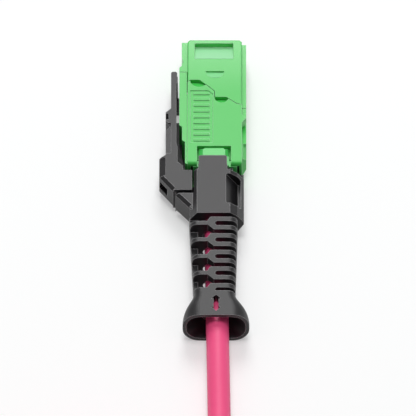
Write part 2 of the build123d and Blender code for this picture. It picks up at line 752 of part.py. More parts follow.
def bell_room():
    """Funnel inside the mouth, from the rim down to the cable's bore."""
    middle = (BELL_RIGHT - BELL_LEFT) / 2
    wide = BELL_LEFT + BELL_RIGHT - 2 * BELL_WALL
    high = THICK - 2 * BELL_WALL
    rim = Pos(middle, 0) * RectangleRounded(wide, high, BELL_ROUND - BELL_WALL)
    neck = Pos(0, 0) * RectangleRounded(2 * BORE_R + 0.5, 2 * BORE_R + 0.3, BORE_R)
    return loft([section(neck, 44.6), section(rim, LENGTH + 0.01)])


def fork_cuts():
    """Pockets, gaps and slots that leave hoop-like forks on stems along a low left spine."""
    cuts = Part()
    first = BOOT_BACK - 0.31
    for n in range(FORKS):
        front = FORK_FIRST + n * FORK_PITCH
        back = front + FORK_LONG + 0.01
        stem = front + (FORK_LONG - STEM_LONG) / 2 - 0.05
        stem_back = stem + STEM_LONG
        cuts += block(SPINE_RIGHT, 9, first, front, -1, THICK + 1)
        upper = [(SPINE_RIGHT, front - 0.01), (FORK_LEFT + 0.35, front - 0.01), (FORK_LEFT - 0.1, stem)]
        lower = [(SPINE_RIGHT, stem_back), (FORK_LEFT, stem_back), (FORK_LEFT + 0.8, back)]
        cuts += plate(upper + [(SPINE_RIGHT, stem)], -1, THICK + 1)
        cuts += plate(lower + [(SPINE_RIGHT, back)], -1, THICK + 1)
        for start, end in ((first, stem), (stem_back, back)):
            cuts += block(-9, SPINE_RIGHT + 0.01, start, end, SPINE_TOP, THICK + 1)
            cuts += block(-9, SPINE_RIGHT + 0.01, start, end, -1, THICK - SPINE_TOP)
        slot_front = front + (FORK_LONG - FORK_SLOT) / 2
        cuts += block(
            FORK_SLOT_LEFT + FORK_SLOT / 2, 9, slot_front, slot_front + FORK_SLOT, -1, THICK + 1
        )
        hole = Pos(FORK_SLOT_LEFT + FORK_SLOT / 2, y_at(slot_front + FORK_SLOT / 2), MID_Z)
        cuts += hole * Cylinder(FORK_SLOT / 2, THICK + 2)
        first = front + FORK_LONG
    return cuts


def arrow_cut():
    """Double-headed arrow through the collar's upper wall."""
    back = ARROW_FRONT + ARROW_LONG
    points = [
        (ARROW_X, ARROW_FRONT),
        (ARROW_X + ARROW_HEAD, ARROW_FRONT + ARROW_HEAD_LONG),
        (ARROW_X + ARROW_SHAFT, ARROW_FRONT + ARROW_HEAD_LONG),
        (ARROW_X + ARROW_SHAFT, back - ARROW_HEAD_LONG),
        (ARROW_X + ARROW_HEAD, back - ARROW_HEAD_LONG),
        (ARROW_X, back),
        (ARROW_X - ARROW_HEAD, back - ARROW_HEAD_LONG),
        (ARROW_X - ARROW_SHAFT, back - ARROW_HEAD_LONG),
        (ARROW_X - ARROW_SHAFT, ARROW_FRONT + ARROW_HEAD_LONG),
        (ARROW_X - ARROW_HEAD, ARROW_FRONT + ARROW_HEAD_LONG),
    ]
    return plate(points, MID_Z, THICK + 1)


def push_pull_boot():
    """One moulding: tongue, body with wing and slot, slotted tail, collar and bell mouth."""
    tail = tail_tube() - fork_cuts()
    boot = boot_body() + boot_tongue() + tail + bell()
    boot -= rod(BOOT_ROOM_R, BOOT_FRONT - 1, BOOT_ROOM_BACK)
    boot -= rod(BORE_R, BOOT_ROOM_BACK - 1, LENGTH + 1)
    boot -= side_slot()
    return boot - bell_room() - arrow_cut()


def polarity_key():
    """Flat key clipped along the left side, with its foot in the boot's waist."""
    bar = [
        (-KEY_BAR_RIGHT + 0.1, KEY_TIP + 0.2),
        (-KEY_BAR_RIGHT - 0.1, KEY_TIP),
        (-KEY_BAR_LEFT + 0.2, KEY_TIP),
        (-KEY_BAR_LEFT, KEY_TIP + 0.2),
        (-KEY_BAR_LEFT, 11.2),
    ]
    bump = [
        (-KEY_BUMP, 11.9),
        (-KEY_BUMP, 13.4),
        (-KEY_BUMP + 0.25, 13.65),
        (-KEY_WAIST, 13.85),
        (-KEY_WAIST, 14.15),
    ]
    ledge = [(-KEY_BUMP, 14.8), (-KEY_BUMP, KEY_LEDGE_BACK)]
    shoulder = (-KEY_BLOCK, KEY_LEDGE_BACK + 0.7)
    corner = (-KEY_BLOCK, KEY_BLOCK_BACK)
    heel = (-KEY_FOOT_LEFT, KEY_BACK)
    foot = [
        (-KEY_FOOT_RIGHT, KEY_BACK),
        (-KEY_FOOT_RIGHT, KEY_FOOT_FRONT),
        (-4.2, KEY_FOOT_FRONT),
        (-4.2, SLEEVE_LEG_DEPTH - 0.25),
        (-4.93, SLEEVE_LEG_DEPTH - 0.9),
        (-4.93, 17.7),
        (-KEY_BAR_RIGHT, 17.4),
        (-KEY_BAR_RIGHT, 6.85),
        (-KEY_BAR_RIGHT + 0.18, 6.7),
        (-KEY_BAR_RIGHT + 0.18, 5.8),
        (-KEY_BAR_RIGHT + 0.1, 5.65),
    ]
    key = plate(bar + bump + ledge + [shoulder, corner, heel] + foot, SIDE_BOTTOM, SIDE_TOP)
    lower = block(
        -9, -KEY_BAR_LEFT, KEY_LEDGE_FRONT, KEY_LEDGE_BACK, SIDE_TOP - KEY_LEDGE_DROP, SIDE_TOP + 1
    )
    slopes = bevel(heel, corner, SIDE_BEVEL, SIDE_BEVEL, SIDE_TOP)
    slopes += bevel(corner, shoulder, KEY_BLOCK - KEY_BUMP, SIDE_BEVEL, SIDE_TOP)
    slopes += bevel(shoulder, ledge[-1], SIDE_BEVEL / 2, SIDE_BEVEL, SIDE_TOP)
    key -= lower + mirrored(lower) + slopes + mirrored(slopes)
    key -= block(-KEY_BUMP - 1, -KEY_BUMP + 0.4, 12.1, 13.1, MID_Z, SIDE_TOP + 1)
    wall = atan2(KEY_BLOCK - KEY_FOOT_LEFT, KEY_BACK - KEY_BLOCK_BACK)
    window = Pos(-6.79, y_at(23.5), MID_Z) * Rot(0, 0, degrees(wall)) * Box(1.8, 1.7, 1.4)
    return key - window


def runs_and_radii(name, points):
    """Largest arc at each corner of a route: 0.45 of the shorter run over tan of half the turn."""
    corners = [Vector(*p) for p in points]
    radii = []
    for before, here, after in zip(corners, corners[1:], corners[2:]):
        turn = (here - before).get_angle(after - here)
        shorter = min((here - before).length, (after - here).length)
        radii.append(0.45 * shorter / tan(radians(turn) / 2))
    print(name, "arc radii", [round(r, 1) for r in radii])
    return radii


def tube(name, points, radius):
    """A cord's plain solid along straight runs joined by tangent arcs."""
    path = FilletPolyline(*points, radius=runs_and_radii(name, points))
    start = Plane(origin=path @ 0, z_dir=path % 0)
    solid = sweep(start * Circle(radius), path=path)
    expected = pi * radius**2 * path.length
    print(name, "length", round(path.length, 1), "volume", round(solid.volume, 1), round(expected, 1))
    return solid


def on_coil(turn, radius, z):
    """A point above the coil, at degrees round it from +X."""
    angle = radians(turn)
    return (COIL_X + radius * cos(angle), COIL_Y + radius * sin(angle), z)


def along_turn(turn, ahead):
    """X and Y of a point on the straight line that touches the tail's circle at an angle."""
    angle = radians(turn)
    x, y, _ = on_coil(turn, TAIL_TURN_R, 0)
    return (x + ahead * sin(angle), y - ahead * cos(angle))


def winding(start, heading, runs, bend, out=(0.0, 0.0)):
    """Flat corners of a route with equal right turns, moved sideways from one distance to another."""
    x, y = start
    corners = []
    for n, run in enumerate([0.0] + runs):
        x += run * cos(radians(heading))
        y += run * sin(radians(heading))
        turn = bend if 0 < n < len(runs) else 0.0
        share = min(max((n - 1) / max(len(runs) - 2, 1), 0.0), 1.0)
        reach = (out[0] + share * (out[1] - out[0])) / cos(radians(turn / 2))
        side = radians(heading + 90 - turn / 2)
        corners.append((x + reach * cos(side), y + reach * sin(side), share))
        heading -= turn
    return corners


BREAKOUT_Z = TOP_Z + BREAKOUT_HIGH / 2
PLUG_Z = TOP_Z + PLUG_HIGH / 2
LAST_TURN_Z = COIL_TOP - CABLE_R
LEAD_ROUTE = [
    (0, y_at(CABLE_FRONT), MID_Z),
    (0, -27.0, MID_Z),
    (0, -38.0, CABLE_R + 0.05),
    (0.25, -50.0, CABLE_R + 0.03),
    (0.1, COIL_Y + 2.0, CABLE_R + COIL_LIFT),
    (-0.45, COIL_Y - 4.0, CABLE_R + COIL_LIFT),
]


def tail_route():
    """From the coil's last turn up onto the coil and into the breakout body's socket."""
    first_turn = BREAKOUT_TURN + TAIL_TURN * (len(TAIL_RISE) - 2)
    runs = [TAIL_RUN] * (len(TAIL_RISE) - 1)
    flat = winding(along_turn(first_turn, -TAIL_RUN / 2), first_turn - 90, runs, TAIL_TURN)
    climb = BREAKOUT_Z - LAST_TURN_Z
    return [(x, y, LAST_TURN_Z + rise * climb) for (x, y, _), rise in zip(flat, TAIL_RISE)]


def leg_route(side):
    """From the breakout body's socket in a wide bow back onto the coil, through the plug's boot."""
    start = along_turn(BREAKOUT_TURN, BREAKOUT_LONG - LEG_RUN / 2)
    runs = [LEG_RUN] * LEG_BENDS + [LEG_RUN / 2 + PLUG_BOOT_LONG]
    out = (side * LEG_SPACING / 2, side * PLUG_SPACING / 2)
    flat = winding(start, BREAKOUT_TURN - 90, runs, LEG_TURN, out)
    drop = PLUG_Z - BREAKOUT_Z
    return [(x, y, BREAKOUT_Z + share * drop - LEG_SAG * sin(pi * share)) for x, y, share in flat]


def cable_coil():
    """Outer shape of the wound turns, two wide and two high."""
    bundle = Pos(COIL_R, COIL_LIFT + 2 * CABLE_R) * RectangleRounded(4 * CABLE_R, 4 * CABLE_R, CABLE_R * 0.98)
    ring = revolve(Plane.XZ * bundle, Axis.Z)
    return Pos(COIL_X, COIL_Y, 0) * ring


def coil_ties():
    """Straps round the bundle; the coil lies on them."""
    inner = 4 * CABLE_R + 2 * TIE_GAP
    outer = inner + 2 * TIE_THICK
    ring = RectangleRounded(outer, outer, CABLE_R + TIE_THICK) - RectangleRounded(inner, inner, CABLE_R)
    strap = extrude(Plane.XZ * ring, TIE_WIDE / 2, both=True)
    places = [on_coil(turn, COIL_R, COIL_LIFT + 2 * CABLE_R) for turn in TIE_TURNS]
    return Part() + [Location(p, (0, 0, turn)) * strap for p, turn in zip(places, TIE_TURNS)]


def breakout_body():
    """Moulded splitter with sockets: one cable in, two tails out."""
    shape = extrude(
        Plane.XZ * RectangleRounded(BREAKOUT_WIDE, BREAKOUT_HIGH, 1.6), BREAKOUT_LONG / 2, both=True
    )
    rims = shape.edges().filter_by(lambda e: abs(abs(e.center().Y) - BREAKOUT_LONG / 2) < 0.01)
    shape = chamfer(rims, 0.3)
    along = Rot(90, 0, 0)
    shape -= Pos(0, BREAKOUT_LONG / 2, 0) * along * Cylinder(CABLE_R + SEAT_GAP, TAIL_RUN)
    for side in (-1, 1):
        place = Pos(side * LEG_SPACING / 2, -BREAKOUT_LONG / 2, 0)
        shape -= place * along * Cylinder(LEG_R + SEAT_GAP, LEG_RUN)
    x, y = along_turn(BREAKOUT_TURN, BREAKOUT_LONG / 2)
    return Location((x, y, BREAKOUT_Z), (0, 0, BREAKOUT_TURN)) * shape


def plug_place(side):
    """Where a tail's plug lies: its own Y runs back along the tail, from the boot's end."""
    end = leg_route(side)[-1]
    return Location(end, (0, 0, BREAKOUT_TURN - LEG_TURN * LEG_BENDS)) * Pos(0, PLUG_BOOT_LONG, 0)


def tail_plug(side):
    """Plain push-on plug for one tail: housing with stepped front and grip ribs."""
    housing = Box(PLUG_WIDE, PLUG_LONG, PLUG_HIGH)
    shape = chamfer(housing.edges().filter_by(Axis.Y), 0.4)
    front = -PLUG_LONG / 2
    for x in (-1, 1):
        shape -= Pos(x * PLUG_WIDE / 2, front + 1.4, 0) * Box(0.6, 2.8, PLUG_HIGH)
    for n in range(4):
        shape -= Pos(0, 0.3 + n * 0.9, PLUG_HIGH / 2) * Box(PLUG_WIDE - 1.2, 0.4, 0.4)
    hole_long = PLUG_FERRULE_LONG - PLUG_FERRULE_OUT
    shape -= Pos(0, front, 0) * Rot(90, 0, 0) * Cylinder(PLUG_FERRULE_R, 2 * hole_long)
    return plug_place(side) * Pos(0, front - PLUG_BOOT_LONG, 0) * shape


def tail_ferrule(side):
    """Round ferrule that stands out of the plug's front."""
    pin = Rot(90, 0, 0) * Cylinder(PLUG_FERRULE_R - SEAT_GAP / 4, PLUG_FERRULE_LONG - SEAT_GAP)
    tip = pin.edges().filter_by(GeomType.CIRCLE).sort_by(Axis.Y)[0]
    middle = (PLUG_FERRULE_LONG - SEAT_GAP) / 2 - PLUG_FERRULE_OUT
    return plug_place(side) * Pos(0, middle - PLUG_LONG - PLUG_BOOT_LONG, 0) * chamfer(tip, 0.15)


def tail_boot(side):
    """Tapered, grooved strain relief behind a tail's plug."""
    bore = LEG_R + 0.05
    thick, thin = 1.75, 1.4
    grooves = 3
    pitch = PLUG_BOOT_LONG / (grooves + 1)
    profile = Polyline(
        (bore, 0), (thin, 0), (thick, -PLUG_BOOT_LONG + 0.4), (thick, -PLUG_BOOT_LONG), (bore, -PLUG_BOOT_LONG),
        close=True,
    )
    shape = revolve(make_face(profile), Axis.Y)
    for n in range(grooves):
        cut = Cylinder(3, 0.5) - Cylinder(bore + 0.2, 0.5)
        shape -= Pos(0, -(n + 0.8) * pitch, 0) * Rot(90, 0, 0) * cut
    return plug_place(side) * shape


def main():
    os.makedirs("parts", exist_ok=True)
    save("nose_housing", nose_housing())
    save("inner_housing", inner_housing())
    save("ferrule", ferrule())
    save("ferrule_boot", ferrule_boot())
    save("spring_seat", spring_seat())
    save("ferrule_spring", ferrule_spring())
    save("fibre_bundle", fibre_bundle())
    save("crimp_body", crimp_body())
    save("crimp_ring", crimp_ring())
    save("return_spring", return_spring())
    save("boot_coupler", boot_coupler())
    save("release_sleeve", release_sleeve())
    save("push_pull_boot", push_pull_boot())
    save("polarity_key", polarity_key())
    save("cable", tube("cable", LEAD_ROUTE, CABLE_R))
    save("cable_coil", cable_coil())
    save("cable_tail", tube("cable_tail", tail_route(), CABLE_R))
    save("coil_ties", coil_ties())
    save("breakout_body", breakout_body())
    for number, side in ((1, -1), (2, 1)):
        save(f"leg_{number}", tube(f"leg_{number}", leg_route(side), LEG_R))
        save(f"leg_{number}_plug", tail_plug(side))
        save(f"leg_{number}_ferrule", tail_ferrule(side))
        save(f"leg_{number}_boot", tail_boot(side))


main()
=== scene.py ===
# %% [markdown]
# # Fibre breakout cable
# A slim plug for many glass fibres on a round pink cable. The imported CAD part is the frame: it gives
# every rigid piece its true shape and place, in metres. This file gives those pieces their finishes,
# lays the cable and its tails as smooth curves, and lights the plug for its picture.

# %% Tools
import math

import bmesh
import bpy
import numpy as np
from mathutils import Matrix, Vector


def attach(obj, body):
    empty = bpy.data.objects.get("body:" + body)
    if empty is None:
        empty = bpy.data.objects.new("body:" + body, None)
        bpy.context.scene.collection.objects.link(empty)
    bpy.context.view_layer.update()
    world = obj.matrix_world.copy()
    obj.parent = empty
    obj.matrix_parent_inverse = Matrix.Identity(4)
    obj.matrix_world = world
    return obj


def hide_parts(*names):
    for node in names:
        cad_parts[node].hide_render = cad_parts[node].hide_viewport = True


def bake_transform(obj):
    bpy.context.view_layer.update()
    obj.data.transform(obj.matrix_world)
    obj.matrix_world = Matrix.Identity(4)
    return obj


MM = 0.001

# %% Load the frame
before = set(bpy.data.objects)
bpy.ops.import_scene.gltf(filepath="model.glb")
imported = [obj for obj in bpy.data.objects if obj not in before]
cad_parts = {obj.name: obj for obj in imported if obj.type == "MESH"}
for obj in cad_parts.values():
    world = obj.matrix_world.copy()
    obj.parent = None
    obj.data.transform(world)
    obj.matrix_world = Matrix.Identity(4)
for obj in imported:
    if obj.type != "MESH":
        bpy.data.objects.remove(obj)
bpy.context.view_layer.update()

# %% [markdown]
# ## Camera
# Parallel lines stay parallel in the picture, so the camera stands far away with a very long lens. It
# looks down at 50 degrees from straight behind the cable, so that the plug's long axis stands upright.

# %% Camera
ELEVATION = 50.0  # degrees above the table
DISTANCE = 2.3
FIELD = 54.55 * MM  # what the picture's side covers at that distance
TARGET = Vector((-0.92, -5.42, 5.3)) * MM


def place_camera():
    """Camera turned up from straight down by 90 - elevation, and moved back along its own axis."""
    camera = bpy.data.objects.new("camera", bpy.data.cameras.new("camera"))
    bpy.context.scene.collection.objects.link(camera)
    turn = Matrix.Rotation(math.radians(90 - ELEVATION), 4, "X")
    away = turn @ Vector((0, 0, 1))
    camera.matrix_world = Matrix.Translation(TARGET + away * DISTANCE) @ turn
    camera.data.sensor_width = 36.0
    camera.data.lens = 36.0 * DISTANCE / FIELD
    camera.data.clip_start = 0.5
    camera.data.clip_end = 20 * DISTANCE
    bpy.context.scene.camera = camera
    return camera


CAMERA = place_camera()
print("lens", round(CAMERA.data.lens, 1), "mm")

# %% [markdown]
# ## Colours and nodes
# Colours are written as they are seen on a screen, in sRGB, and one function turns them into the
# linear light that the renderer adds up. One more small function adds a node with its settings and
# links, so that each material below reads as a list of what the surface does.


# %% Colour and node helpers
def linear(hex_colour):
    """sRGB hex to linear RGBA: c / 12.92 below 0.04045, else ((c + 0.055) / 1.055) to the power 2.4."""
    c = np.array([int(hex_colour[n : n + 2], 16) for n in (1, 3, 5)]) / 255
    light = np.where(c <= 0.04045, c / 12.92, ((c + 0.055) / 1.055) ** 2.4)
    return (*light.tolist(), 1.0)


def add(tree, kind, inputs=None, **settings):
    """Adds a node; an input gets a link if its value is a socket, and a plain value otherwise."""
    node = tree.nodes.new(kind)
    for name, value in settings.items():
        setattr(node, name, value)
    for name, value in (inputs or {}).items():
        if isinstance(value, bpy.types.NodeSocket):
            tree.links.new(value, node.inputs[name])
        else:
            node.inputs[name].default_value = value
    return node


def new_material(name):
    """An empty node material and its output node."""
    material = bpy.data.materials.new(name)
    material.use_nodes = True
    material.node_tree.nodes.clear()
    return material, material.node_tree, add(material.node_tree, "ShaderNodeOutputMaterial")


# %% [markdown]
# ## Moulded plastics
# Every coloured shell here is injection moulded. The mould's steel is spark eroded, which leaves a
# grain of shallow round pits, and the plastic shrinks a little, which leaves very slow waves. Real
# grain is 0.02 to 0.05 mm, too fine for this picture, so it is drawn at 0.06 mm and more. Moulded
# edges are never sharp: the Bevel node rounds the light on them by 0.03 to 0.14 mm, on the shells wider
# than the real edge so that it shows.

# %% Wear and grain
NOSE_WEAR = (14.5 * MM, 23.6 * MM)  # places in Y between which the nose goes from grained to polished
LEDGE_WEAR = (3.5 * MM, 3.7 * MM)  # distance from the middle at which the side ledges begin
LEDGE_SHARE = 0.25  # the ledges' wear, where the nose's tip has 1
FACE_COSINE = 0.997  # above this a place counts as flat
EDGE_COSINE = 0.91  # below this it counts as fully on the edge
SLOW_WAVE = 3.0 * MM
GLOSS_SPREAD = 0.06


def worn_smooth(tree, place):
    """0 to 1 where the plug slides in its port: the nose over its last 9 mm, and the side ledges.

    The factor is the larger of two ramps, one in Y over NOSE_WEAR and one in |X| over LEDGE_WEAR."""
    way = add(tree, "ShaderNodeSeparateXYZ", {0: place})
    tip = {"Value": way.outputs["Y"], "From Min": NOSE_WEAR[0], "From Max": NOSE_WEAR[1]}
    nose = add(tree, "ShaderNodeMapRange", {**tip, "To Min": 0.0, "To Max": 1.0})
    aside = add(tree, "ShaderNodeMath", {0: way.outputs["X"]}, operation="ABSOLUTE")
    side = {"Value": aside.outputs[0], "From Min": LEDGE_WEAR[0], "From Max": LEDGE_WEAR[1]}
    ledge = add(tree, "ShaderNodeMapRange", {**side, "To Min": 0.0, "To Max": LEDGE_SHARE})
    both = {0: nose.outputs["Result"], 1: ledge.outputs["Result"]}
    return add(tree, "ShaderNodeMath", both, operation="MAXIMUM").outputs[0]


def edge_highlight_mask(tree, edge):
    """Mask of the painted edge highlight: 0 on a face to 1 on an edge, a falling ramp over the cosine between
    rounded and true normal.
    """
    face = add(tree, "ShaderNodeNewGeometry")
    normals = {0: edge.outputs["Normal"], 1: face.outputs["True Normal"]}
    same = add(tree, "ShaderNodeVectorMath", normals, operation="DOT_PRODUCT")
    fall = {"Value": same.outputs["Value"], "From Min": FACE_COSINE, "From Max": EDGE_COSINE}
    return add(tree, "ShaderNodeMapRange", {**fall, "To Min": 0.0, "To Max": 1.0}).outputs["Result"]


# %% Moulded plastic
def moulded(
    name, colour, deep, roughness, grain_mm, grain_height_mm, ior=1.53, edge_mm=0.05, polish=0.0, edge_highlight=None
):
    """Plastic: two near colours mixed by slow noise, grain as bump, rounded edges, glossier where worn.

    An edge colour, if given, is a painted highlight: a lighter colour mixed in on the rounded edges, where
    they would catch the light."""
    material, tree, output = new_material(name)
    place = add(tree, "ShaderNodeTexCoord").outputs["Object"]
    cloud = add(tree, "ShaderNodeTexNoise", {"Vector": place, "Scale": 1 / SLOW_WAVE, "Detail": 2.0})
    tones = {"Factor": cloud.outputs["Fac"], "A": linear(deep), "B": linear(colour)}
    shade = add(tree, "ShaderNodeMix", tones, data_type="RGBA")
    grain = add(tree, "ShaderNodeTexNoise", {"Vector": place, "Scale": 1 / (grain_mm * MM), "Detail": 1.0})
    rough = add(
        tree,
        "ShaderNodeMapRange",
        {
            "Value": grain.outputs["Fac"],
            "To Min": roughness - GLOSS_SPREAD,
            "To Max": roughness + GLOSS_SPREAD,
        },
    )
    if polish:
        wear = {0: worn_smooth(tree, place), 1: polish}
        less = add(tree, "ShaderNodeMath", wear, operation="MULTIPLY")
        kept = {0: rough.outputs["Result"], 1: less.outputs[0]}
        rough = add(tree, "ShaderNodeMath", kept, operation="SUBTRACT")
    edge = add(tree, "ShaderNodeBevel", {"Radius": edge_mm * MM}, samples=4)
    # Painted highlight: on the rounded edges the colour goes over to a light edge colour.
    if edge_highlight:
        shade = add(
            tree,
            "ShaderNodeMix",
            {"Factor": edge_highlight_mask(tree, edge), "A": shade.outputs["Result"], "B": linear(edge_highlight)},
            data_type="RGBA",
        )
    bump = add(
        tree,
        "ShaderNodeBump",
        {"Height": grain.outputs["Fac"], "Distance": grain_height_mm * MM, "Normal": edge.outputs["Normal"]},
    )
    shader = add(
        tree,
        "ShaderNodeBsdfPrincipled",
        {
            "Base Color": shade.outputs["Result"],
            "Roughness": rough.outputs[0],
            "IOR": ior,
            "Normal": bump.outputs["Normal"],
        },
    )
    tree.links.new(shader.outputs["BSDF"], output.inputs["Surface"])
    return material


# %% Plastics of this plug
# The light edge colours given below are painted highlights along the edges.
GREEN = moulded(
    "pbt_satin_green", "#45c955", "#3fc54f", 0.42, 0.12, 0.002, edge_mm=0.12, polish=0.19, edge_highlight="#b2f2bb"
)
# A darker copy of the same green for the inner parts seen deep in the notch: painted shade.
SHADED_GREEN = moulded("pbt_satin_green_painted_shade", "#129f2a", "#0f9726", 0.5, 0.12, 0.002)
# A lighter copy of the same green for the coupler: painted light on its top.
LIT_GREEN = moulded(
    "pbt_satin_green_painted_light", "#52d266", "#4dce61", 0.36, 0.12, 0.002, edge_mm=0.14, edge_highlight="#94e8a2"
)
# A paler copy of the green for the pad on the window's ramp: a painted sheen.
WINDOW_SHEEN_GREEN = moulded("pbt_green_painted_sheen", "#a2e9b0", "#9ee6ac", 0.3, 0.12, 0.001)
# A paler copy of the green for the pad in the finger mark: a painted sheen.
MARK_SHEEN_GREEN = moulded("pbt_green_painted_mark_sheen", "#83df93", "#7fdc8f", 0.35, 0.12, 0.001)
BLACK = moulded(
    "pbt_fine_grain_black", "#222123", "#1e1d1f", 0.42, 0.1, 0.003, ior=1.48, edge_mm=0.14, edge_highlight="#a6a5a7"
)
SOFT_BLACK = moulded("silicone_soft_black", "#2c2b2c", "#282728", 0.6, 0.15, 0.004, ior=1.43)
FERRULE = moulded("pps_ground_black", "#3a393a", "#333233", 0.35, 0.06, 0.001, ior=1.65, edge_mm=0.03)
TIE = moulded("nylon_tie_black", "#2b2a2c", "#262527", 0.45, 0.2, 0.002)
print("main plastics", GREEN.name, LIT_GREEN.name, BLACK.name)

# %% [markdown]
# ## Cable jacket
# The jacket is drawn from a die, so it is smooth and has a satin sheen. Fine die lines run along it;
# they are too faint to see, so only a slow unevenness of colour and surface is kept.

# %% Cable jacket
JACKET_WAVE = 1.5 * MM
JACKET_RELIEF = 0.01 * MM


def jacket(name, colour, deep):
    """Halogen-free jacket: one slow noise mixes two near pinks and raises the surface a little."""
    material, tree, output = new_material(name)
    place = add(tree, "ShaderNodeTexCoord").outputs["Object"]
    wave = add(tree, "ShaderNodeTexNoise", {"Vector": place, "Scale": 1 / JACKET_WAVE, "Detail": 3.0})
    tones = {"Factor": wave.outputs["Fac"], "A": linear(deep), "B": linear(colour)}
    shade = add(tree, "ShaderNodeMix", tones, data_type="RGBA")
    bump = add(tree, "ShaderNodeBump", {"Height": wave.outputs["Fac"], "Distance": JACKET_RELIEF})
    shader = add(
        tree,
        "ShaderNodeBsdfPrincipled",
        {
            "Base Color": shade.outputs["Result"],
            "Roughness": 0.48,
            "IOR": 1.5,
            "Normal": bump.outputs["Normal"],
        },
    )
    tree.links.new(shader.outputs["BSDF"], output.inputs["Surface"])
    return material


PINK = jacket("lszh_jacket_pink", "#fd578e", "#f95189")

# %% [markdown]
# ## Metals, ceramic and glass
# Springs are drawn steel wire, with scratches along the wire too fine to see. The crimp ring is turned brass
# with a nickel coat, dulled where the tool pressed it; here its roughness only varies with fine noise all
# over. The tails' ferrules are zirconia, ground and polished. The fibres are glass in a clear coating.


# %% Metals, ceramic and glass
def metal(name, colour, roughness, grain_mm):
    """Metal: roughness varies with fine noise."""
    material, tree, output = new_material(name)
    place = add(tree, "ShaderNodeTexCoord").outputs["Object"]
    grain = add(tree, "ShaderNodeTexNoise", {"Vector": place, "Scale": 1 / (grain_mm * MM), "Detail": 2.0})
    rough = add(
        tree,
        "ShaderNodeMapRange",
        {"Value": grain.outputs["Fac"], "To Min": roughness - 0.08, "To Max": roughness + 0.08},
    )
    shader = add(
        tree,
        "ShaderNodeBsdfPrincipled",
        {"Base Color": linear(colour), "Metallic": 1.0, "Roughness": rough.outputs["Result"]},
    )
    tree.links.new(shader.outputs["BSDF"], output.inputs["Surface"])
    return material


STEEL = metal("drawn_spring_steel", "#b9b8b4", 0.25, 0.1)
CRIMP = metal("nickel_plated_brass", "#c9c2b0", 0.32, 0.2)
CERAMIC = moulded("zirconia_ground", "#f4f2ec", "#f0ede6", 0.18, 0.08, 0.0005, ior=2.1, edge_mm=0.03)
COATING = moulded("clear_coated_fibre", "#b8cfdb", "#a9c3d1", 0.3, 0.2, 0.001)

# %% [markdown]
# ## Dressing the CAD pieces
# The CAD shapes are right as they stand, so they keep their meshes and only get their finish.

# %% Dress the CAD nodes
FINISHES = {
    GREEN: ["nose_housing", "release_sleeve", "leg_1_plug", "leg_2_plug"],
    LIT_GREEN: ["boot_coupler"],
    SHADED_GREEN: ["inner_housing", "crimp_body", "spring_seat"],
    BLACK: ["push_pull_boot", "polarity_key", "breakout_body", "leg_1_boot", "leg_2_boot"],
    TIE: ["coil_ties"],
    FERRULE: ["ferrule"],
    SOFT_BLACK: ["ferrule_boot"],
    CRIMP: ["crimp_ring"],
    CERAMIC: ["leg_1_ferrule", "leg_2_ferrule"],
    COATING: ["fibre_bundle"],
}
for finish, nodes in FINISHES.items():
    for node in nodes:
        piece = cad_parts[node]
        for place in piece.material_slots:
            place.material = finish
        print(node, "->", finish.name)

# %% [markdown]
# ## Springs
# Two steel springs hide in the plug. One end of each stands still and the other goes with a sliding piece.
# Each spring here is a copy of its CAD mesh in steel, which takes the place of the CAD piece.

# %% Springs
SPRINGS = {"return_spring": "release", "ferrule_spring": "float"}


def closing_spring(node):
    """Copy of a CAD spring in steel, its loose triangles merged, in place of the CAD piece."""
    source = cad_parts[node]
    mesh = source.data.copy()
    mesh.transform(source.matrix_world)
    shell = bmesh.new()
    shell.from_mesh(mesh)
    bmesh.ops.remove_doubles(shell, verts=shell.verts, dist=0.0001 * MM)
    shell.to_mesh(mesh)
    shell.free()
    mesh.materials.clear()
    mesh.materials.append(STEEL)
    spring = bpy.data.objects.new(f"{node}_coil", mesh)
    bpy.context.scene.collection.objects.link(spring)
    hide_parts(node)
    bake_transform(spring)


for node, mover in SPRINGS.items():
    closing_spring(node)

# %% [markdown]
# ## Thin plates
# Small plates finish the shells. The window in the nose has a floor that rises like a ramp; a thin pad of
# paler green lies on it, a painted sheen for the light that the ramp throws back, and another such painted
# sheen lies in the small finger mark behind it. The coupler ends in a rounded pad that just fills the
# sleeve's notch, in a lighter copy of its green that paints the light on its top. Between the key and the
# sleeve, dark plates paint the shade in the gaps. Each is an outline in x and y, given a lower and an upper
# height that may slope along y.


# %% Plates
def plate(name, outline, low, high, material, body, soft_mm=0.0):
    """A closed plate over an outline of (x, y) points in mm, turning left; low and high are heights at y.

    A height is a pair (value, slope): z = value + slope * (y - the outline's first y)."""
    flat = np.array(outline, float)
    along = flat[:, 1] - flat[0, 1]
    count = len(flat)
    layers = [np.column_stack([flat, value + slope * along]) for value, slope in (low, high)]
    ring = np.arange(count)
    after = (ring + 1) % count
    walls = np.column_stack([ring, after, after + count, ring + count]).tolist()
    mesh = bpy.data.meshes.new(name)
    faces = [ring[::-1].tolist(), (ring + count).tolist(), *walls]
    mesh.from_pydata((np.concatenate(layers) * MM).tolist(), [], faces)
    mesh.materials.append(material)
    piece = bpy.data.objects.new(name, mesh)
    bpy.context.scene.collection.objects.link(piece)
    if soft_mm:
        soften = piece.modifiers.new("soft_edges", "BEVEL")
        soften.width = soft_mm * MM
        soften.segments = 3
    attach(piece, body)
    print(name, "on", body, "points", count)
    return piece


def half_disc(x, front, radius, points=17):
    """Half circle behind a straight front edge: angle from 180 to 360 degrees round (x, front)."""
    angle = np.linspace(np.pi, 2 * np.pi, points)
    return np.column_stack([x + radius * np.cos(angle), front + radius * np.sin(angle)])


def soft_corners(left, right, back, front, radius, points=6):
    """Rectangle whose two front corners are quarter circles."""
    angle = np.linspace(0, np.pi / 2, points)
    across, along = radius * np.cos(angle), radius * np.sin(angle)
    first = np.column_stack([right - radius + across, front - radius + along])
    second = np.column_stack([left + radius - along, front - radius + across])
    return np.concatenate([[(left, back), (right, back)], first, second])


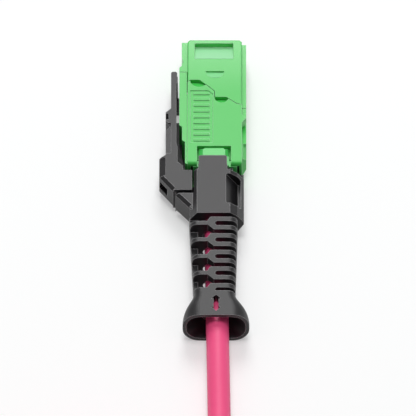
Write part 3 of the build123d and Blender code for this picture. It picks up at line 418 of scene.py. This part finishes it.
# %% Lay the plates
WINDOW = [(-2.64, 22.93), (-2.64, 20.3), (2.4, 20.3), (2.4, 22.93)]
WINDOW_LOW, WINDOW_HIGH = (4.46, -0.293), (4.54, -0.293)  # the ramp falls towards the front
# Painted sheen: a thin paler pad laid on the window's ramp.
plate("window_sheen_pad", WINDOW, WINDOW_LOW, WINDOW_HIGH, WINDOW_SHEEN_GREEN, "plug")
# Painted sheen: a thin paler pad laid in the finger mark.
MARK = half_disc(0.0, 18.16, 1.17)
MARK_LOW, MARK_HIGH = (5.01, -0.225), (5.07, -0.225)
plate("finger_mark_sheen_pad", MARK, MARK_LOW, MARK_HIGH, MARK_SHEEN_GREEN, "plug")
# The coupler's pad takes the lighter copy of the green: painted light.
CAP = soft_corners(-1.57, 1.27, 3.78, 5.2, 0.35)
plate("coupler_pad", CAP, (4.5, 0.0), (5.08, 0.0), LIT_GREEN, "release", soft_mm=0.16)
# Dark plates in the gaps between the key and the sleeve and under the key's foot: painted shade, so that the
# white table does not show through.
KEY_GAP_SHADE = [(-5.2, 12.9), (-5.2, 4.0), (-3.95, 4.0), (-3.95, 7.6), (-4.5, 10.6), (-4.72, 12.9)]
plate("key_gap_shade", KEY_GAP_SHADE, (0.3, 0.0), (0.9, 0.0), BLACK, "release")
KEY_GAP_SHADE_FRONT = [(-5.2, 17.2), (-5.2, 14.7), (-4.72, 14.7), (-4.72, 17.2)]
plate("key_gap_shade_front", KEY_GAP_SHADE_FRONT, (0.3, 0.0), (0.9, 0.0), BLACK, "release")
FOOT_SHADE = [(-3.3, 1.6), (-3.3, 0.5), (-2.5, 0.5), (-2.5, 1.6)]
plate("key_foot_shade_pad", FOOT_SHADE, (0.6, 0.0), (1.2, 0.0), BLACK, "release")

# %% [markdown]
# ## Cable
# One cable runs from the crimp ring out of the boot's mouth, along the table, round the coil and up
# onto it into the breakout body. It is one smooth curve through control points. The coil is wound two
# turns wide and two high. Where one turn passes to the next place, its centre rolls round the turn
# that comes in beneath it, so that the two stay one diameter apart.

# %% Cable sizes and route
CABLE_R = 1.5 * MM
COIL_CENTRE = (-16.5 * MM, -63.0 * MM)
COIL_INNER = 13.5 * MM
COIL_LOW = 1.92 * MM
POINTS_A_TURN = 24
SHIFT_FROM = 170.0  # degrees of each turn after which it moves to its next place
LIFT_FROM = 3 * 360 + 100  # degrees along the coil where the last turn starts to climb over it
COIL_END = 3 * 360 + 230
LIFT_DIAMETERS = 0.9
RISE_RADIUS = 16.4 * MM
RISE_HEIGHTS = (8.0, 8.5)  # mm, from the last turn to the breakout body
LEAD = [
    (0.00000, -0.00110, 0.00265),
    (0.00035, -0.02700, 0.00265),
    (0.00055, -0.03800, 0.00155),
    (0.00060, -0.05000, 0.00153),
    (0.00030, -0.05900, 0.00185),
]
TAIL = [
    (-0.00282, -0.07223, 0.00849),
    (-0.00727, -0.07668, 0.00874),
    (-0.01307, -0.07914, 0.00874),
]


def coil_points():
    """Places of the turns: outer low, inner low, inner high, outer high, joined by quarter rolls.

    In each turn the last part, from SHIFT_FROM to 360 degrees, eases a rise s from 0 to 1. Turn 2 rises
    by s while turn 1 comes in to sqrt(1 - s squared) and turn 3 goes out to sqrt(1 - (1 - s) squared), so
    their centres stay one diameter apart. Control points lie outside the circle by 1 / cos(half a step),
    because the curve cuts inside them."""
    step = 360.0 / POINTS_A_TURN
    turned = np.arange(1, int(COIL_END / step)) * step
    number = (turned // 360).astype(int)
    ease = np.clip((turned % 360 - SHIFT_FROM) / (360 - SHIFT_FROM), 0, 1)
    rise = ease**2 * (3 - 2 * ease)
    none, full = 0 * rise, 1 + 0 * rise
    inward, outward = np.sqrt(1 - rise**2), np.sqrt(1 - (1 - rise) ** 2)
    across = 2 * CABLE_R
    radius = np.choose(number, [inward, none, outward, full]) * across + COIL_INNER
    height = np.choose(number, [none, rise, full, full]) * across + COIL_LOW
    out = np.clip((turned - LIFT_FROM) / (COIL_END - LIFT_FROM), 0, 1)
    height = height + out**2 * (3 - 2 * out) * across * LIFT_DIAMETERS
    radius = radius / np.cos(np.radians(step / 2))
    angle = -np.radians(turned)
    x = COIL_CENTRE[0] + radius * np.cos(angle)
    y = COIL_CENTRE[1] + radius * np.sin(angle)
    return np.stack([x, y, height], axis=1)


def rise_points():
    """From the last turn over the top of the coil: constant radius, climbing to the breakout body."""
    angle = np.radians(np.array([115, 95, 75, 55, 35, 15, -5, -25]))
    height = np.linspace(*RISE_HEIGHTS, len(angle)) * MM
    x = COIL_CENTRE[0] + RISE_RADIUS * np.cos(angle)
    y = COIL_CENTRE[1] + RISE_RADIUS * np.sin(angle)
    return np.stack([x, y, height], axis=1)


def smooth_cord(name, points, radius, material):
    """A round cord: a quadratic NURBS through its end points, with the route's points as controls."""
    data = bpy.data.curves.new(name, "CURVE")
    data.dimensions = "3D"
    spline = data.splines.new("NURBS")
    spline.points.add(len(points) - 1)
    weighted = np.concatenate([np.asarray(points, float), np.ones((len(points), 1))], axis=1)
    spline.points.foreach_set("co", weighted.ravel())
    spline.order_u = 3
    spline.use_endpoint_u = True
    data.resolution_u = 8
    data.bevel_depth = radius
    data.bevel_resolution = 6
    data.use_fill_caps = True
    data.materials.append(material)
    cord = bpy.data.objects.new(name, data)
    bpy.context.scene.collection.objects.link(cord)
    return cord


def measured_length(cord):
    """Length of the curve's own line: the sum of its short straight pieces."""
    line = cord.data.copy()
    line.bevel_depth = 0.0
    holder = bpy.data.objects.new("line", line)
    mesh = bpy.data.meshes.new_from_object(holder)
    co = np.array([v.co for v in mesh.vertices])
    bpy.data.objects.remove(holder)
    bpy.data.meshes.remove(mesh)
    bpy.data.curves.remove(line)
    return float(np.linalg.norm(np.diff(co, axis=0), axis=1).sum())


# %% Lay the cable
cable = smooth_cord("pink_cable", np.concatenate([LEAD, coil_points(), rise_points(), TAIL]), CABLE_R, PINK)
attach(cable, "plug")
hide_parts("cable", "cable_coil", "cable_tail")
CABLE_LENGTH = measured_length(cable)
print("cable", round(CABLE_LENGTH, 3), "m")

# %% [markdown]
# ## Tails
# Two thinner cables leave the breakout body side by side, swing out in a wide bow and come back onto
# the coil, each into the grooved boot of its own plug.

# %% Tail routes
LEG_R = 1.0 * MM
LEGS = {
    "leg_1": [
        (-0.01627, -0.07920, 0.00874),
        (-0.02133, -0.08135, 0.00874),
        (-0.02652, -0.08101, 0.00831),
        (-0.03101, -0.07854, 0.00803),
        (-0.03400, -0.07445, 0.00801),
        (-0.03496, -0.06956, 0.00825),
        (-0.03379, -0.06479, 0.00864),
        (-0.02931, -0.05885, 0.00864),
    ],
    "leg_2": [
        (-0.01533, -0.08141, 0.00874),
        (-0.02088, -0.08376, 0.00874),
        (-0.02722, -0.08370, 0.00831),
        (-0.03299, -0.08094, 0.00803),
        (-0.03711, -0.07594, 0.00801),
        (-0.03873, -0.06959, 0.00825),
        (-0.03752, -0.06309, 0.00864),
        (-0.03250, -0.05644, 0.00864),
    ],
}

# %% Lay the tails
for node, route in LEGS.items():
    leg = smooth_cord(f"{node}_cord", route, LEG_R, PINK)
    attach(leg, "plug")
    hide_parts(node)
    length = measured_length(leg)
    print(node, round(length, 4), "m")

# %% [markdown]
# ## Table and light
# The plug lies on a white table in even light. The table's paint is a light grey that takes the shadow
# and throws less coloured light about than white would; for the camera and for reflections it glows by
# what its paint falls short of pure white.

# %% Table
TABLE_HALF = 0.6
TABLE_GLOW = 0.33


def table():
    """A wide flat sheet at height zero, where the plug rests, and its paint."""
    side = (-TABLE_HALF, TABLE_HALF)
    mesh = bpy.data.meshes.new("table")
    corners = [(side[0], side[0], 0), (side[1], side[0], 0), (side[1], side[1], 0), (side[0], side[1], 0)]
    mesh.from_pydata(corners, [], [(0, 1, 2, 3)])
    material, tree, output = new_material("white_table_paint")
    paint = add(tree, "ShaderNodeBsdfPrincipled", {"Base Color": linear("#d6d7d7"), "Roughness": 0.7})
    seen = add(tree, "ShaderNodeLightPath")
    rays = {0: seen.outputs["Is Camera Ray"], 1: seen.outputs["Is Glossy Ray"]}
    direct = add(tree, "ShaderNodeMath", rays, operation="MAXIMUM")
    rays = {0: direct.outputs[0], 1: seen.outputs["Is Transmission Ray"]}
    through = add(tree, "ShaderNodeMath", rays, operation="MAXIMUM")
    lift = add(tree, "ShaderNodeMath", {0: through.outputs[0], 1: TABLE_GLOW}, operation="MULTIPLY")
    glow = add(tree, "ShaderNodeEmission", {"Strength": lift.outputs[0]})
    both = add(tree, "ShaderNodeAddShader", {0: paint.outputs["BSDF"], 1: glow.outputs["Emission"]})
    tree.links.new(both.outputs["Shader"], output.inputs["Surface"])
    mesh.materials.append(material)
    sheet = bpy.data.objects.new("table", mesh)
    bpy.context.scene.collection.objects.link(sheet)
    return sheet


table()

# %% Light
AIR_BEHIND = 0.18  # strength of the sky's light from behind the cable
AIR_AHEAD = 0.54  # and from the plug's front


def soft_lamp(name, place, aim, size, power):
    """A square lamp of a size in metres, at a place, turned to shine at a point."""
    data = bpy.data.lights.new(name, "AREA")
    data.size = size
    data.energy = power
    lamp = bpy.data.objects.new(name, data)
    bpy.context.scene.collection.objects.link(lamp)
    lamp.location = place
    lamp.rotation_euler = (Vector(place) - Vector(aim)).to_track_quat("Z", "Y").to_euler()
    return lamp


def studio_air():
    """World: soft light, strongest from the plug's front (+Y), and pure white where the camera sees it."""
    world = bpy.data.worlds.new("studio_air")
    bpy.context.scene.world = world
    world.use_nodes = True
    tree = world.node_tree
    tree.nodes.clear()
    output = add(tree, "ShaderNodeOutputWorld")
    path = add(tree, "ShaderNodeLightPath")
    way = add(tree, "ShaderNodeSeparateXYZ", {0: add(tree, "ShaderNodeTexCoord").outputs["Generated"]})
    turn = {"Value": way.outputs["Y"], "From Min": -1.0, "From Max": 1.0}
    ahead = add(tree, "ShaderNodeMapRange", {**turn, "To Min": AIR_BEHIND, "To Max": AIR_AHEAD})
    air = add(tree, "ShaderNodeBackground", {"Color": linear("#ffffff"), "Strength": ahead.outputs["Result"]})
    white = add(tree, "ShaderNodeBackground", {"Color": linear("#ffffff"), "Strength": 1.0})
    skies = {0: path.outputs["Is Camera Ray"], 1: air.outputs[0], 2: white.outputs[0]}
    mix = add(tree, "ShaderNodeMixShader", skies)
    tree.links.new(mix.outputs[0], output.inputs["Surface"])


studio_air()
soft_lamp("far_window", (0.0, 0.34, 0.40), (0, 0, 0), 0.24, 1.0)
soft_lamp("overhead", (0.0, -0.02, 0.5), (0, 0, 0), 0.16, 0.85)

# %% [markdown]
# ## Picture settings
# The Standard view shows colours about as they were written.

# %% Picture settings
bpy.context.scene.view_settings.view_transform = "Standard"
